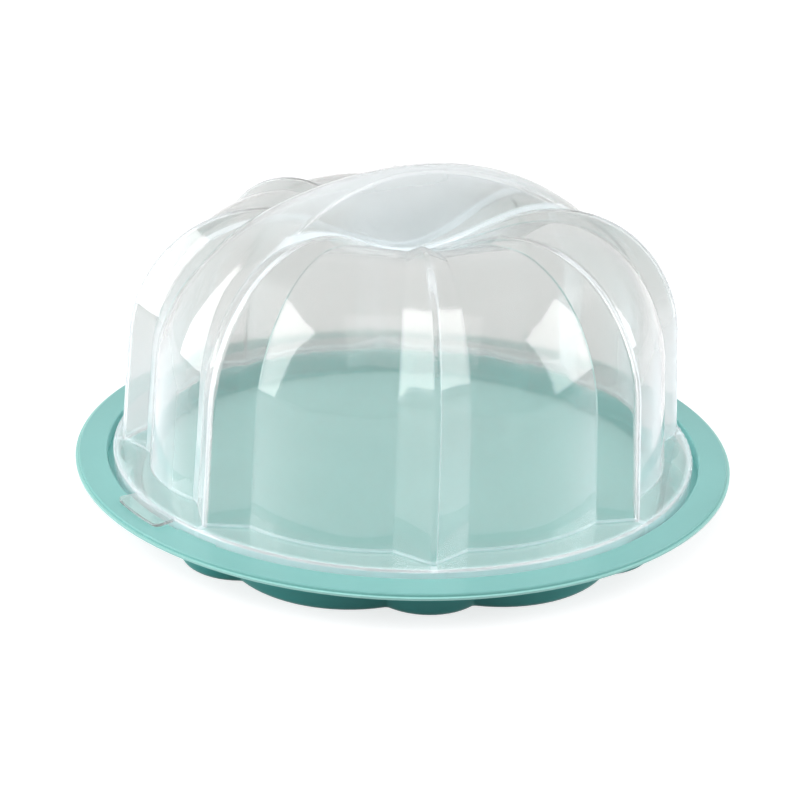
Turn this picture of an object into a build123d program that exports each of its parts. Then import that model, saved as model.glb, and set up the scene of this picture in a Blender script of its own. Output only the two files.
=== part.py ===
from build123d import *
import os
from math import cos, pi, radians, sin

# Cake carrier: a scalloped serving tray and a fluted lift-off dome cover whose handle strap,
# rim, finger tabs and locking lugs are moulded in one with it.
# Millimetres, +Z up, origin on the table under the middle, the strap lies along X.

# ---- shared layout ----
flute_count = 8                 # ribs round the dome, and scallops of each size round the foot
flute_pitch = 360 / flute_count
first_rib_angle = flute_pitch / 2
seat_gap = 0.2                  # under the skirt, where the cover stands on the tray
rim_gap = 0.3                   # under the rim and the finger tabs, above the flange

# ---- tray ----
tray_wall = 2.5
flange_radius = 165.0
flange_width = 15.5             # from its edge in to the recess
flange_thickness = 2.4
flange_edge_round = 0.8
lip_width = 1.5                 # thin bead round the outside of the flange edge
lip_height = 1.0
ledge_height = 15.0             # the seat of the cover, inside the recess
recess_depth = 6.4              # from the flange's top down to that seat
recess_edge_round = 0.8
foot_setback = 10.0             # from the recess wall in to the cusps of the foot
small_scallop_reach = 6.5       # how far the scallops stand out past the cusps
large_scallop_reach = 7.3
small_scallop_half_angle = 8.05
cusp_round = 1.5
foot_round = 3.0
well_round = 1.5
floor_margin = 6.5              # from the cusps in to the raised floor
floor_rise = 2.5
floor_round = 1.2

# ---- cover ----
cover_wall = 2.0
rim_clearance = 3.0             # between the rim and the recess wall
rim_thickness = 1.6
rim_edge_round = 1.1
rim_shelf = 3.7                 # from the rim's edge in to the tips of the ribs
skirt_thickness = 1.5
wall_height = 44.0              # straight drafted part of the dome, above the rim
wall_lean = 3.6                 # how far it leans in over that height
valley_setback = 12.1           # from the rib tips, before they are rounded, in to the valleys
lobe_setback = 9.8
valley_half_angle = 7.4
rib_round = 2.2
crown_radius = 69.0             # the highest ring of the dome
dome_height = 120.7             # from the rim to the ribs there
valley_drop = 3.5               # how far valleys and lobes lie below them
lobe_drop = 2.7
rib_fullness = 2.1              # power of the ribs' shoulder curve; 2 would be an ellipse
shell_fullness = 2.0            # the same for valleys and lobes
dimple_depth = 19.7
dimple_eye_radius = 8.0

# ---- handle strap ----
strap_rise = 21.0               # from the top of the ribs to the top of the strap
strap_waist = 6.2               # half its width over the middle
strap_flare = 29.8              # what each side gains on the way down to the foot
strap_waist_power = 3
strap_bow = 1.6                 # how far its top is bowed over the middle
strap_lobe_bow = 9.9            # and what that gains on the way down
strap_bow_power = 2.0
strap_edge_round = 2.0
strap_depth = 50.0

# ---- where the lofts of dome and strap have their sections ----
wall_shares = (0.08, 0.25, 0.5, 0.75)
shoulder_angles = (0, 15, 30, 45, 60, 75, 90)
dimple_shares = (0.22, 0.44, 0.66)

# ---- finger tabs, locking lugs and their catches ----
tab_angle = 9.9                 # from the strap axis; the second of each is opposite
tab_half_angle = 6.5
tab_reach = 10.0                # how far a tab stands out over the flange
tab_corner = 3.0
lug_half_angle = 4.5
lug_clearance = 0.7             # between a lug and the recess wall
lug_thickness = 2.2
catch_turn = 13.0               # the turn that takes a lug under its catch
catch_clearance = 0.7           # between a catch and the rim
catch_thickness = 2.2
lock_gap = 0.5                  # between a locked lug and its catch

recess_radius = flange_radius - flange_width
flange_top = ledge_height + recess_depth
foot_cusp_radius = recess_radius - foot_setback
floor_disc_radius = foot_cusp_radius - floor_margin
rim_radius = recess_radius - rim_clearance
rib_foot_radius = rim_radius - rim_shelf
valley_foot_radius = rib_foot_radius - valley_setback
lobe_foot_radius = rib_foot_radius - lobe_setback
rim_bottom = flange_top + rim_gap
rim_top = rim_bottom + rim_thickness
skirt_bottom = ledge_height + seat_gap
lug_top = skirt_bottom + lug_thickness
shoulder_height = rim_top + wall_height
dome_top = rim_top + dome_height


def polar(radius, angle, height):
    return Vector(radius * cos(radians(angle)), radius * sin(radians(angle)), height)


def ring(inner_radius, outer_radius, bottom, top):
    """A plain ring, or a disc when the inner radius is 0."""
    body = extrude(Plane.XY.offset(bottom) * Circle(outer_radius), top - bottom)
    if inner_radius > 0:
        body -= extrude(Plane.XY.offset(bottom) * Circle(inner_radius), top - bottom)
    return body


def ring_piece(inner_radius, outer_radius, bottom, top, middle_angle, half_angle, corner=0.0):
    """A piece of a ring, with its outer corners rounded on request."""
    start = middle_angle - half_angle
    end = middle_angle + half_angle
    outline = make_face(
        [
            Edge.make_line(polar(inner_radius, start, 0), polar(outer_radius, start, 0)),
            Edge.make_three_point_arc(
                polar(outer_radius, start, 0),
                polar(outer_radius, middle_angle, 0),
                polar(outer_radius, end, 0),
            ),
            Edge.make_line(polar(outer_radius, end, 0), polar(inner_radius, end, 0)),
            Edge.make_three_point_arc(
                polar(inner_radius, end, 0),
                polar(inner_radius, middle_angle, 0),
                polar(inner_radius, start, 0),
            ),
        ]
    )
    if corner > 0:
        outer_corners = outline.vertices().sort_by(lambda v: Vector(v).length)[-2:]
        outline = fillet(outer_corners, corner)
    return Pos(0, 0, bottom) * extrude(outline, top - bottom)


# ---------------------------------------------------------------- dome
def dome_levels():
    """The rings of the dome, foot to eye: (part of the profile, how far along it)."""
    wall = [("wall", share) for share in wall_shares]
    shoulder = [("shoulder", angle) for angle in shoulder_angles]
    dimple = [("dimple", share) for share in dimple_shares]
    return wall + shoulder + dimple


def profile_point(level, foot_radius, drop, fullness, inset):
    """Radius and height of one meridian of the dome, moved in by inset."""
    part, value = level
    shoulder_radius = foot_radius - wall_lean
    top = dome_top - drop
    if part == "wall":
        return foot_radius - wall_lean * value - inset, rim_top + wall_height * value
    if part == "shoulder":
        across = shoulder_radius - crown_radius - inset
        rise = top - shoulder_height - inset
        swing = radians(value)
        out = cos(swing) ** (2 / fullness)
        up = sin(swing) ** (2 / fullness)
        return crown_radius + across * out, shoulder_height + rise * up
    depth = dimple_depth - drop
    return crown_radius * (1 - value), top - inset - depth * (1 - cos(pi * value)) / 2


def rounded_rib(left, tip, right):
    """The three edges of one V rib, from valley to valley over its rounded tip."""
    along_left = left - tip
    along_right = right - tip
    middle = (along_left.normalized() + along_right.normalized()).normalized()
    half = radians(along_left.get_angle(along_right)) / 2
    tangent = min(rib_round * cos(half) / sin(half), along_left.length / 2.5)
    start = tip + along_left.normalized() * tangent
    end = tip + along_right.normalized() * tangent
    apex = tip + middle * (tangent * (1 - sin(half)) / cos(half))
    return [
        Edge.make_line(left, start),
        Edge.make_three_point_arc(start, apex, end),
        Edge.make_line(end, right),
    ]


def dome_ring(rib, valley, lobe):
    """One closed ring round the dome from the (radius, height) of rib, valley and lobe middle."""
    edges = []
    for index in range(flute_count):
        rib_angle = first_rib_angle + index * flute_pitch
        lobe_angle = rib_angle + flute_pitch / 2
        before = polar(valley[0], rib_angle - valley_half_angle, valley[1])
        after = polar(valley[0], rib_angle + valley_half_angle, valley[1])
        following = polar(valley[0], rib_angle + flute_pitch - valley_half_angle, valley[1])
        edges += rounded_rib(before, polar(rib[0], rib_angle, rib[1]), after)
        if round(lobe_angle) % 180 == 0:
            edges.append(Edge.make_line(after, following))
        else:
            middle = polar(lobe[0], lobe_angle, lobe[1])
            edges.append(Edge.make_three_point_arc(after, middle, following))
    return Wire(edges)


def dome_form(base, inset):
    """The solid form of the dome, flat under its foot at base."""
    foot = [
        (radius - inset, base) for radius in (rib_foot_radius, valley_foot_radius, lobe_foot_radius)
    ]
    rings = [dome_ring(*foot)]
    for level in dome_levels():
        rings.append(
            dome_ring(
                profile_point(level, rib_foot_radius, 0, rib_fullness, inset),
                profile_point(level, valley_foot_radius, valley_drop, shell_fullness, inset),
                profile_point(level, lobe_foot_radius, lobe_drop, shell_fullness, inset),
            )
        )
    eye = (dimple_eye_radius, dome_top - dimple_depth - inset)
    rings.append(dome_ring(eye, eye, eye))
    return Solid.make_loft(rings)


# ---------------------------------------------------------------- strap
def strap_section(swing, middle, outward, inset):
    """One D-shaped section of the strap, square to its arch, with rounded edges."""
    half_width = strap_waist + strap_flare * (1 - sin(swing) ** strap_waist_power) - inset
    bow = strap_bow + strap_lobe_bow * cos(swing) ** strap_bow_power
    top = middle - outward * inset
    shoulder = top - outward * bow
    inside = middle - outward * strap_depth
    sideways = Vector(0, half_width, 0)
    outline = make_face(
        [
            Edge.make_three_point_arc(shoulder - sideways, top, shoulder + sideways),
            Edge.make_line(shoulder + sideways, inside + sideways),
            Edge.make_line(inside + sideways, inside - sideways),
            Edge.make_line(inside - sideways, shoulder - sideways),
        ]
    )
    edges = outline.vertices().sort_by(lambda v: (Vector(v) - inside).dot(outward))[-2:]
    return fillet(edges, strap_edge_round - inset / 2).wire()


def strap_form(base, inset):
    """The band that climbs one lobe, arches over the dimple and runs down the opposite lobe."""
    across = lobe_foot_radius - wall_lean
    rise = dome_top + strap_rise - shoulder_height
    one_side = [(0, Vector(lobe_foot_radius, 0, base), Vector(1, 0, 0))]
    for share in wall_shares:
        radius = lobe_foot_radius - wall_lean * share
        one_side.append((0, Vector(radius, 0, rim_top + wall_height * share), Vector(1, 0, 0)))
    for angle in shoulder_angles[:-1]:
        swing = radians(angle)
        middle = Vector(across * cos(swing), 0, shoulder_height + rise * sin(swing))
        outward = Vector(cos(swing) / across, 0, sin(swing) / rise).normalized()
        one_side.append((swing, middle, outward))
    top = (pi / 2, Vector(0, 0, shoulder_height + rise), Vector(0, 0, 1))
    other_side = [(swing, Vector(-m.X, 0, m.Z), Vector(-n.X, 0, n.Z)) for swing, m, n in reversed(one_side)]
    stations = one_side + [top] + other_side
    return Solid.make_loft([strap_section(*station, inset) for station in stations])


# ---------------------------------------------------------------- cover
def make_cover():
    outer = dome_form(rim_bottom, 0) + strap_form(rim_bottom, 0)
    rim = ring(0, rim_radius, rim_bottom, rim_top)
    rim = fillet(rim.edges().group_by(Axis.Z)[-1], rim_edge_round)
    outer += rim
    mouth = rim_bottom - cover_wall
    inner = dome_form(mouth, cover_wall) + strap_form(mouth, cover_wall)
    cover = outer - inner
    cover += ring(rim_radius - skirt_thickness, rim_radius, skirt_bottom, rim_bottom)
    for side in (0, 180):
        angle = tab_angle + side
        cover += ring_piece(
            rim_radius - skirt_thickness,
            rim_radius + tab_reach,
            rim_bottom,
            rim_top,
            angle,
            tab_half_angle,
            tab_corner,
        )
        cover += ring_piece(
            rim_radius - skirt_thickness / 2,
            recess_radius - lug_clearance,
            skirt_bottom,
            lug_top,
            angle,
            lug_half_angle,
        )
    return cover


# ---------------------------------------------------------------- tray
def scallop(reach, half_angle):
    """Centre distance and radius of the circle through a scallop's peak and its two cusps."""
    peak_radius = foot_cusp_radius + reach
    cusp_reach = foot_cusp_radius * cos(radians(half_angle))
    centre = (peak_radius**2 - foot_cusp_radius**2) / (2 * (peak_radius - cusp_reach))
    return centre, peak_radius - centre


def scalloped_outline(inset):
    """The foot's outline: a small scallop under each rib, a large one under each lobe."""
    small_centre, small_radius = scallop(small_scallop_reach, small_scallop_half_angle)
    large_half_angle = flute_pitch / 2 - small_scallop_half_angle
    large_centre, large_radius = scallop(large_scallop_reach, large_half_angle)
    outline = Circle(large_centre)
    for index in range(flute_count):
        rib_angle = first_rib_angle + index * flute_pitch
        lobe_angle = rib_angle + flute_pitch / 2
        outline += Rot(0, 0, rib_angle + 180) * Pos(-small_centre, 0, 0) * Circle(small_radius - inset)
        outline += Rot(0, 0, lobe_angle + 180) * Pos(-large_centre, 0, 0) * Circle(large_radius - inset)
    return fillet(outline.vertices(), cusp_round + inset)


def nearest_corner(face, radius, height):
    """The corner of a profile in the XZ plane that lies nearest to a radius and a height."""
    return face.vertices().sort_by_distance(Vector(radius, 0, height))[0]


def flange_form():
    """Flange, lip, recess wall and seat, revolved from one profile."""
    edge_radius = flange_radius - lip_width
    flange_bottom = flange_top - flange_thickness
    lip_top = flange_bottom + lip_height
    inside = foot_cusp_radius - 2 * tray_wall
    corners = [
        (inside, ledge_height),
        (recess_radius, ledge_height),
        (recess_radius, flange_top),
        (edge_radius, flange_top),
        (edge_radius, lip_top),
        (flange_radius, lip_top),
        (flange_radius, flange_bottom),
        (recess_radius + tray_wall, flange_bottom),
        (recess_radius + tray_wall, ledge_height - tray_wall),
        (inside, ledge_height - tray_wall),
    ]
    points = [Vector(radius, 0, height) for radius, height in corners]
    profile = make_face(Polyline(*points, close=True))
    profile = fillet(nearest_corner(profile, recess_radius, flange_top), recess_edge_round)
    profile = fillet(nearest_corner(profile, edge_radius, flange_top), flange_edge_round)
    return revolve(profile, Axis.Z)


def make_tray():
    foot = extrude(scalloped_outline(0), ledge_height)
    foot = fillet(foot.edges().group_by(Axis.Z)[0], foot_round)
    well = extrude(Pos(0, 0, tray_wall) * scalloped_outline(tray_wall), ledge_height)
    well = fillet(well.edges().group_by(Axis.Z)[0], well_round)
    raised = ring(0, floor_disc_radius, 0, tray_wall + floor_rise)
    raised = fillet(raised.edges().group_by(Axis.Z)[-1], floor_round)
    under = ring(0, floor_disc_radius - tray_wall, 0, floor_rise)
    tray = foot + flange_form()
    tray -= well
    tray += raised
    tray -= under
    for side in (0, 180):
        tray += ring_piece(
            rim_radius + catch_clearance,
            recess_radius + tray_wall / 2,
            lug_top + lock_gap,
            lug_top + lock_gap + catch_thickness,
            tab_angle + catch_turn + side,
            lug_half_angle,
        )
    return tray


os.makedirs("parts", exist_ok=True)
export_step(make_tray(), "parts/tray.step")
export_step(make_cover(), "parts/cover.step")
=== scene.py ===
"""Looks of the cake carrier: a milky clear fluted cover on a satin teal tray, in studio light.

Every material is procedural. Places on the part are found from its own coordinates, in metres.
Below, a pair of lengths is where a soft step starts and ends, and a pair of shares is what it
changes from and to. A pair on facing is the same kind of step, from 0 for a surface seen
square on to 1 for one seen edge on. A noise is given by its scale and its detail.
"""

import math

import bpy
from mathutils import Matrix, Vector

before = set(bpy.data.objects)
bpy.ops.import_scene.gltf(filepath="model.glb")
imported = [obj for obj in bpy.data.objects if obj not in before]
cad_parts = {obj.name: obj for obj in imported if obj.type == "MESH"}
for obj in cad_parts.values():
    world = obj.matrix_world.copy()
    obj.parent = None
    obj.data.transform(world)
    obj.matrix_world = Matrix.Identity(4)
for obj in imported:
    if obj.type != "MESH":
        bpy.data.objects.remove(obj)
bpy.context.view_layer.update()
scene = bpy.context.scene
scene.view_settings.view_transform = "Standard"

# Camera, matched to the photograph.
IMAGE_SIZE = 800
SENSOR_WIDTH = 36
FOCAL_PIXELS = 1774.02
VIEW_OFFSET = (3.306, -41.422)  # pixels from the picture's centre to the point looked at
VIEW_AZIMUTH = -28.6
VIEW_ELEVATION = 23.88
VIEW_DISTANCE = 0.9075
VIEW_HEIGHT = 0.020
VIEW_ROLL = 2.0
CLIP = (0.05, 60)

# Lamps: name, azimuth, elevation, distance, width, height and power in watts.
LAMPS = (
    ("softbox_left", -110.0, 23, 1.30, 0.95, 1.13, 17.6),
    ("softbox_right", 57.0, 24, 1.30, 0.98, 0.93, 11.8),
    ("softbox_overhead", -30.0, 50, 0.85, 0.6, 0.6, 3.9),
)
UNMIRRORED_LAMP = "softbox_overhead"
LAMP_AIM_HEIGHT = 0.08
WHITE = (1, 1, 1, 1)
FILL_STRENGTH = 0.16

# Floor: a disc in a wide ring, lit to white away from the object.
FLOOR_RADII = (0.4, 6.5)
FLOOR_SPOKES = 96
FLOOR_PAPER = (0.42, 0.41, 0.42, 1)
FLOOR_GLOW = (0.3, 1.0, 0.76, 1.0)  # from this radius to that one, from this strength to that one

FLOW_RANGE = (0.3, 0.7)  # the part of a noise's values that is spread over the full change

# Tray.
TRAY_TINTS = (0.190, 0.432, 0.410, 1), (0.203, 0.455, 0.432, 1)
# Painted shade: a darker teal for the foot beneath the flange, where the flange shades it.
TRAY_PAINTED_SHADE_TINT = (0.065, 0.36, 0.34, 1)
# Painted highlight: a paler teal on the bead of the flange's outer edge, where the lamps glint.
TRAY_BEAD_HIGHLIGHT_TINT = (0.33, 0.63, 0.59, 1)
# Where the painted shade beneath the flange lies: its height and its distance from the axis.
PAINTED_SHADE_LEVEL = (0.010, 0.0175)
PAINTED_SHADE_RADIUS = (0.130, 0.138)
BEAD_HIGHLIGHT_RADIUS = (0.1633, 0.1640)
TRAY_FLOW = (14.0, 3.0)
TRAY_GRAIN = (300.0, 2.0)
TRAY_ROUGHNESS = (0.30, 0.34)
TRAY_IOR = 1.46
TRAY_SHINE = 0.32

# Cover: where its forms lie.
RIB_STEP = 45.0
FIRST_RIB = 22.5
RIM_TOP = (0.0236, 0.0255)
RIM_SIDE = (0.0240, 0.0270)
RIM_HIGHLIGHT_INNER = (0.1412, 0.1458)
RIM_HIGHLIGHT_OUTER = (0.1468, 0.1474)
TAB_START = (0.1468, 0.1476)
FOOT_LINE_LOW = (0.0234, 0.0238)
FOOT_LINE_HIGH = (0.0246, 0.0252)
CROWN_LEVEL = (0.105, 0.135)
DIMPLE_RADIUS = (0.03, 0.06)
CROWN_RADIUS = 0.069
SHOULDER_REACH = 0.0634
SHOULDER_RISE = 0.0752
SHOULDER_LEVEL = 0.0673
DIMPLE_HALF_DEPTH = 0.0091
STRAP_REACH = 0.1294
STRAP_FLARE = 0.0298
STRAP_FLARE_POWER = 3.0
STRAP_HALF_WIDTH = 0.0062
STRAP_SIDE = (0.0002, 0.0012)
STRAP_FROST_LEVEL = (0.132, 0.158)
CREASE_WIDTH = (0.0016, 0.0036)
CREASE_DROP = 0.0010
CREASE_HEIGHT = (0.0015, 0.0035)
TIP_WIDTH = (0.0010, 0.0030)
TIP_START = (0.07, 0.10)

# Cover: how it looks.
CLEAR_TINTS = (0.70, 0.70, 0.69, 1), (0.72, 0.72, 0.71, 1)
# The haze's pale colour, also the colour of the painted highlights on the rim edge and rib tips.
MILK_AND_HIGHLIGHT_TINT = (0.91, 0.965, 1.0, 1)
LAMP_TINT = (0.87, 0.88, 0.88, 1)
COVER_IOR = 1.47
COVER_FLOW = (9.0, 3.0)
COVER_ROUGHNESS = (0.04, 0.07)
TRANSMISSION = (0.87, 0.90)
RIM_TRANSMISSION = 0.93
MILK_AND_HIGHLIGHT_LOSS = 0.35
CREASE_MILK = 0.7
# Rib tips: partly milkier plastic, partly a painted highlight that grows as a tip turns edge on.
TIP_MILK_AND_HIGHLIGHT = (0.05, 0.8)
# Painted highlight: how white the rim's outer rounded edge is made.
RIM_EDGE_HIGHLIGHT = 0.70
RIM_MILK = 0.12
FOOT_MILK = 0.6
STRAP_HAZE = 0.45
CROWN_HAZE = 0.05
STRAP_FROST = 0.13
CROWN_FROST = 0.06
TOP_PALE = 0.35
WALL_PALE_LEVEL = (0.05, 0.12)
WALL_PALE_ABOVE = 0.45
TIP_FACING = (0.16, 0.36)
GRAZE_FACING = (0.12, 0.80)
GRAZE_LEVEL = (0.07, 0.13)
GRAZE_MILK = (0.95, 0.16)
GRAZE_ON_RIM = 0.2
OUTLINE_FACING = (0.80, 0.96)
OUTLINE_GRAZE = 0.25
SWELL = (26.0, 1.0)
SWELL_HEIGHT = 0.0008
SWELL_ON_TOP = 0.3
TOP_LEVEL = (0.10, 0.13)


def about_z(azimuth, elevation, distance, height):
    """A point seen from the object at this azimuth (0 is -Y, then towards +X) and elevation."""
    a = math.radians(azimuth)
    e = math.radians(elevation)
    return Vector(
        (
            math.sin(a) * math.cos(e) * distance,
            -math.cos(a) * math.cos(e) * distance,
            math.sin(e) * distance + height,
        )
    )


# ---------------------------------------------------------------- camera
def make_camera():
    """A camera whose aim, roll and shift give the photograph's view."""
    aim = Vector((0, 0, VIEW_HEIGHT))
    place = about_z(VIEW_AZIMUTH, VIEW_ELEVATION, VIEW_DISTANCE, VIEW_HEIGHT)
    roll = math.radians(VIEW_ROLL)
    ahead = (aim - place).normalized()
    side = ahead.cross(Vector((0, 0, 1))).normalized()
    up = side.cross(ahead).normalized()
    side, up = (
        side * math.cos(roll) + up * math.sin(roll),
        up * math.cos(roll) - side * math.sin(roll),
    )
    look = Vector((*VIEW_OFFSET, FOCAL_PIXELS)).normalized()
    turn = Vector((0, 0, 1)).rotation_difference(look).to_matrix()
    axes = [side * row[0] + up * row[1] + ahead * row[2] for row in turn]
    data = bpy.data.cameras.new("camera")
    data.sensor_width = SENSOR_WIDTH
    data.lens = FOCAL_PIXELS / IMAGE_SIZE * SENSOR_WIDTH
    data.clip_start, data.clip_end = CLIP
    camera = bpy.data.objects.new("camera", data)
    camera.matrix_world = Matrix(
        [(axes[0][i], axes[1][i], -axes[2][i], place[i]) for i in range(3)]
        + [(0, 0, 0, 1)]
    )
    scene.collection.objects.link(camera)
    scene.camera = camera


make_camera()


# ---------------------------------------------------------------- light
def softbox(name, azimuth, elevation, distance, width, height, power):
    """A rectangular lamp that faces the middle of the object."""
    data = bpy.data.lights.new(name, "AREA")
    data.shape = "RECTANGLE"
    data.size = width
    data.size_y = height
    data.energy = power
    light = bpy.data.objects.new(name, data)
    place = about_z(azimuth, elevation, distance, LAMP_AIM_HEIGHT)
    light.location = place
    aim = Vector((0, 0, LAMP_AIM_HEIGHT)) - place
    light.rotation_euler = aim.to_track_quat("-Z", "Y").to_euler()
    light.visible_glossy = name != UNMIRRORED_LAMP
    scene.collection.objects.link(light)


for lamp in LAMPS:
    softbox(*lamp)


# ---------------------------------------------------------------- node nets
class Net:
    """A material's node tree, built by short calls."""

    def __init__(self, tree):
        self.tree = tree
        tree.nodes.clear()

    def node(self, kind, settings=None, **inputs):
        made = self.tree.nodes.new(kind)
        for key, value in (settings or {}).items():
            setattr(made, key, value)
        for key, value in inputs.items():
            self.put(made, key.replace("_", " "), value)
        return made

    def put(self, node, socket, value):
        target = node.inputs[socket]
        if isinstance(value, bpy.types.NodeSocket):
            self.tree.links.new(value, target)
        else:
            target.default_value = value

    def math(self, operation, a, b=0.0, clamp=False):
        made = self.node("ShaderNodeMath", {"operation": operation, "use_clamp": clamp})
        self.put(made, 0, a)
        self.put(made, 1, b)
        return made.outputs[0]

    def chain(self, operation, first, *others):
        """The operation over all the values, from left to right."""
        result = first
        for other in others:
            result = self.math(operation, result, other)
        return result

    def times(self, *values):
        return self.chain("MULTIPLY", *values)

    def most(self, *values):
        return self.chain("MAXIMUM", *values)

    def arc(self, value):
        """The height of a quarter circle of radius 1 over this place."""
        return self.math("SQRT", self.math("SUBTRACT", 1.0, self.times(value, value), True))

    def smooth(self, value, span, to_low=0.0, to_high=1.0):
        """A soft step from one value to another over a span of the input."""
        made = self.node("ShaderNodeMapRange", {"interpolation_type": "SMOOTHSTEP"})
        for slot, given in enumerate((value, *span, to_low, to_high)):
            self.put(made, slot, given)
        return made.outputs[0]

    def blend(self, factor, a, b):
        made = self.node("ShaderNodeMix", {"data_type": "RGBA"})
        self.put(made, 0, factor)
        self.put(made, 6, a)
        self.put(made, 7, b)
        return made.outputs[2]

    def mix(self, factor, a, b):
        made = self.node("ShaderNodeMixShader")
        for slot, given in enumerate((factor, a.outputs[0], b.outputs[0])):
            self.put(made, slot, given)
        return made

    def noise(self, where, scale, detail):
        made = self.node("ShaderNodeTexNoise", Vector=where, Scale=scale, Detail=detail)
        return made.outputs[0]

    def seen(self):
        """1 for what the camera sees, straight, mirrored or through the cover."""
        path = self.node("ShaderNodeLightPath")
        kinds = ("Is Camera Ray", "Is Glossy Ray", "Is Transmission Ray")
        return self.most(*(path.outputs[kind] for kind in kinds))

    def place(self):
        """The point on the part: its position, x, y, z and distance from the axis."""
        where = self.node("ShaderNodeTexCoord").outputs["Object"]
        x, y, z = self.node("ShaderNodeSeparateXYZ", Vector=where).outputs
        radius = self.math("SQRT", self.math("ADD", self.times(x, x), self.times(y, y)))
        return where, x, y, z, radius

    def finish(self, shader, kind="ShaderNodeOutputMaterial"):
        self.put(self.node(kind), 0, shader.outputs[0])


def new_material(name):
    material = bpy.data.materials.new(name)
    material.use_nodes = True
    return material, Net(material.node_tree)


# ---------------------------------------------------------------- stage
def white_world():
    """White to the eye, and a weak even fill on the object."""
    world = bpy.data.worlds.new("studio")
    world.use_nodes = True
    scene.world = world
    net = Net(world.node_tree)
    fill = net.node("ShaderNodeBackground", Color=WHITE, Strength=FILL_STRENGTH)
    white = net.node("ShaderNodeBackground", Color=WHITE, Strength=1.0)
    net.finish(net.mix(net.seen(), fill, white), "ShaderNodeOutputWorld")


def make_floor():
    """A pale disc that keeps the object's shadow and reads as white."""
    points = []
    for radius in FLOOR_RADII:
        for k in range(FLOOR_SPOKES):
            a = 2 * math.pi * k / FLOOR_SPOKES
            points.append((radius * math.cos(a), radius * math.sin(a), 0))
    faces = [tuple(range(FLOOR_SPOKES))]
    for k in range(FLOOR_SPOKES):
        beside = (k + 1) % FLOOR_SPOKES
        faces.append((k, FLOOR_SPOKES + k, FLOOR_SPOKES + beside, beside))
    mesh = bpy.data.meshes.new("floor")
    mesh.from_pydata(points, [], faces)
    floor = bpy.data.objects.new("floor", mesh)
    scene.collection.objects.link(floor)
    material, net = new_material("studio_floor")
    paper = net.node("ShaderNodeBsdfDiffuse", Color=FLOOR_PAPER)
    away = net.node("ShaderNodeVectorMath", {"operation": "LENGTH"})
    net.put(away, 0, net.node("ShaderNodeTexCoord").outputs["Object"])
    lift = net.smooth(away.outputs[1], FLOOR_GLOW[:2], *FLOOR_GLOW[2:])
    glow = net.node("ShaderNodeEmission", Color=WHITE, Strength=net.times(net.seen(), lift))
    both = net.node("ShaderNodeAddShader")
    net.put(both, 0, paper.outputs[0])
    net.put(both, 1, glow.outputs[0])
    net.finish(both)
    mesh.materials.append(material)


white_world()
make_floor()


# ---------------------------------------------------------------- materials
def tray_plastic():
    """Satin teal plastic, with a painted highlight on the bead of its edge and painted shade on
    the foot beneath the flange.
    """
    material, net = new_material("tray_plastic_look")
    where, _, _, z, radius = net.place()
    flow = net.noise(where, *TRAY_FLOW)
    grain = net.noise(where, *TRAY_GRAIN)
    tint = net.blend(net.smooth(flow, FLOW_RANGE), *TRAY_TINTS)
    # Painted shade: the foot beneath the flange turns darker teal.
    painted_shade = net.times(net.smooth(z, PAINTED_SHADE_LEVEL, 1.0, 0.0), net.smooth(radius, PAINTED_SHADE_RADIUS))
    tint = net.blend(painted_shade, tint, TRAY_PAINTED_SHADE_TINT)
    # Painted highlight: the bead at the flange's outer edge turns paler teal.
    tint = net.blend(net.smooth(radius, BEAD_HIGHLIGHT_RADIUS), tint, TRAY_BEAD_HIGHLIGHT_TINT)
    plastic = net.node("ShaderNodeBsdfPrincipled", IOR=TRAY_IOR)
    net.put(plastic, "Base Color", tint)
    net.put(plastic, "Specular IOR Level", TRAY_SHINE)
    net.put(plastic, "Roughness", net.smooth(grain, FLOW_RANGE, *TRAY_ROUGHNESS))
    net.finish(plastic)
    return material


def strap_masks(net, x, y, z, radius):
    """The top of the strap, and the crease where its flanks meet the dome."""
    arch = net.arc(net.math("DIVIDE", x, STRAP_REACH))
    flare = net.math("SUBTRACT", 1.0, net.math("POWER", arch, STRAP_FLARE_POWER))
    half_width = net.math("ADD", net.times(flare, STRAP_FLARE), STRAP_HALF_WIDTH)
    beside = net.math("SUBTRACT", net.math("ABSOLUTE", y), half_width)
    out = net.math("DIVIDE", net.math("SUBTRACT", radius, CROWN_RADIUS), SHOULDER_REACH, True)
    sunk = net.math("COSINE", net.times(net.math("DIVIDE", radius, CROWN_RADIUS, True), math.pi))
    level = net.times(net.arc(out), SHOULDER_RISE)
    level = net.math("ADD", level, SHOULDER_LEVEL - DIMPLE_HALF_DEPTH)
    level = net.math("SUBTRACT", level, net.times(sunk, DIMPLE_HALF_DEPTH))
    above = net.math("ABSOLUTE", net.math("SUBTRACT", net.math("ADD", z, CREASE_DROP), level))
    top = net.times(
        net.smooth(beside, STRAP_SIDE, 1.0, 0.0),
        net.smooth(z, STRAP_FROST_LEVEL),
    )
    crease = net.times(
        net.smooth(net.math("ABSOLUTE", beside), CREASE_WIDTH, 1.0, 0.0),
        net.smooth(above, CREASE_HEIGHT, 1.0, 0.0),
        CREASE_MILK,
    )
    return top, crease


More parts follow.
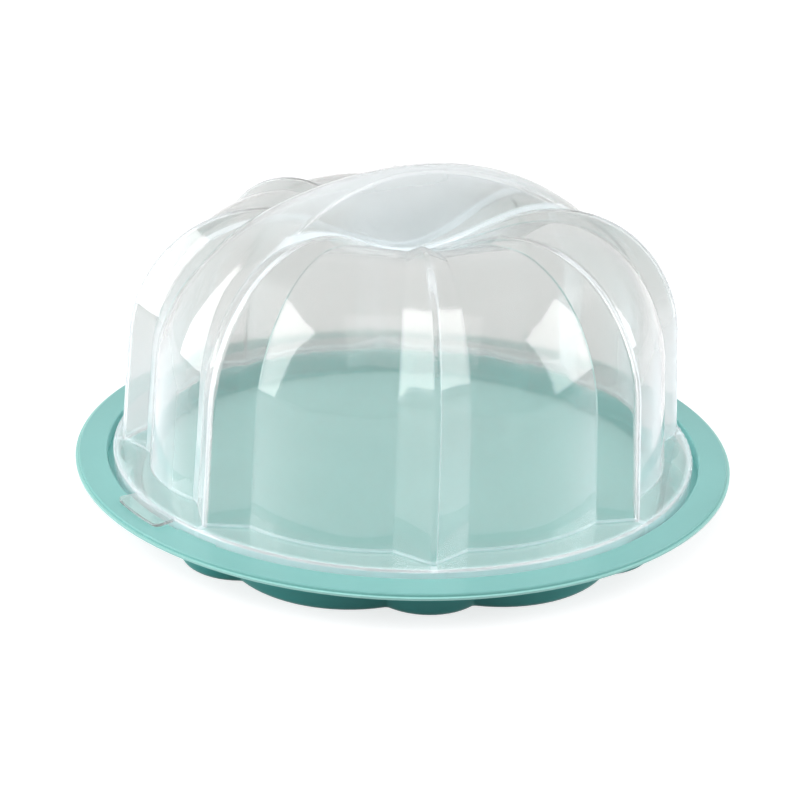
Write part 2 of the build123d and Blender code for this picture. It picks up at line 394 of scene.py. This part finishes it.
def line_mask(net, x, y, z, radius, edge, crease):
    """The whiter lines: rib tips, rim, foot and the strap's creases. The rim's outer edge is a
    painted highlight, and the rib tips are partly milkier plastic and partly a painted highlight.
    """
    turn = net.times(net.math("ARCTAN2", y, x), 180 / math.pi)
    turn = net.math("FLOORED_MODULO", turn, RIB_STEP)
    from_rib = net.math("ABSOLUTE", net.math("SUBTRACT", turn, FIRST_RIB))
    off_tip = net.times(from_rib, math.pi / 180, radius)
    # Rib tips whiten: partly milkier plastic, partly a painted highlight.
    tip = net.times(
        net.smooth(off_tip, TIP_WIDTH, 1.0, 0.0),
        net.smooth(radius, TIP_START),
        net.smooth(edge, TIP_FACING, *TIP_MILK_AND_HIGHLIGHT),
    )
    # Painted highlight: a whiter strip along the rim's outer edge.
    rim_highlight = net.times(
        net.smooth(radius, RIM_HIGHLIGHT_INNER),
        net.smooth(radius, RIM_HIGHLIGHT_OUTER, RIM_EDGE_HIGHLIGHT, 0.0),
    )
    rim = net.times(net.smooth(z, RIM_SIDE, 1.0, 0.0), net.most(rim_highlight, RIM_MILK))
    foot = net.times(
        net.smooth(z, FOOT_LINE_LOW),
        net.smooth(z, FOOT_LINE_HIGH, FOOT_MILK, 0.0),
    )
    return net.most(tip, rim, net.most(crease, foot))


def cover_plastic():
    """Clear moulded plastic with a milky haze that is denser at a graze, and whiter lines on its
    edges that are partly milkier plastic and partly painted highlights.
    """
    material, net = new_material("cover_plastic_look")
    where, x, y, z, radius = net.place()
    flow = net.noise(where, *COVER_FLOW)
    strap, crease = strap_masks(net, x, y, z, radius)
    crown = net.smooth(z, CROWN_LEVEL)
    edge = net.node("ShaderNodeLayerWeight", Blend=0.5).outputs["Facing"]
    line = line_mask(net, x, y, z, radius, edge, crease)
    graze = net.times(
        net.smooth(edge, GRAZE_FACING),
        net.times(
            net.smooth(z, RIM_TOP, GRAZE_ON_RIM, 1.0),
            net.smooth(z, GRAZE_LEVEL, *GRAZE_MILK),
        ),
        net.smooth(edge, OUTLINE_FACING, 1.0, OUTLINE_GRAZE),
    )
    haze = net.most(net.times(strap, STRAP_HAZE), net.times(crown, CROWN_HAZE))
    off_tab = net.smooth(radius, TAB_START, 1.0, 0.0)
    # Haze, whiter lines and painted highlights, which lower the transmission.
    milk_and_highlight = net.times(net.most(graze, line, haze), off_tab)
    dimple = net.smooth(radius, DIMPLE_RADIUS, 1.0, 0.0)
    body = net.times(graze, net.smooth(z, WALL_PALE_LEVEL, 1.0, WALL_PALE_ABOVE))
    pale = net.most(body, line, net.times(net.most(strap, dimple), TOP_PALE))

    plastic = net.node("ShaderNodeBsdfPrincipled", IOR=COVER_IOR)
    net.put(plastic, "Base Color", net.blend(pale, net.blend(flow, *CLEAR_TINTS), MILK_AND_HIGHLIGHT_TINT))
    clear = net.smooth(z, RIM_TOP, RIM_TRANSMISSION, net.smooth(flow, FLOW_RANGE, *TRANSMISSION))
    clear = net.math("SUBTRACT", clear, net.times(milk_and_highlight, MILK_AND_HIGHLIGHT_LOSS))
    net.put(plastic, "Transmission Weight", clear)
    frost = net.most(net.times(strap, STRAP_FROST), net.times(crown, CROWN_FROST))
    rough = net.math("ADD", net.smooth(flow, FLOW_RANGE, *COVER_ROUGHNESS), frost)
    net.put(plastic, "Roughness", rough)
    swell = net.noise(where, *SWELL)
    swell = net.times(swell, net.smooth(z, TOP_LEVEL, 1.0, SWELL_ON_TOP))
    bump = net.node("ShaderNodeBump", Strength=1.0, Distance=SWELL_HEIGHT, Height=swell)
    net.put(plastic, "Normal", bump.outputs[0])
    lamp = net.node("ShaderNodeBsdfTransparent", Color=LAMP_TINT)
    shadow = net.node("ShaderNodeLightPath").outputs["Is Shadow Ray"]
    net.finish(net.mix(shadow, plastic, lamp))
    return material


def dress(node, material):
    """Gives a CAD node its material."""
    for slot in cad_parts[node].material_slots:
        slot.material = material


dress("tray", tray_plastic())
dress("cover", cover_plastic())
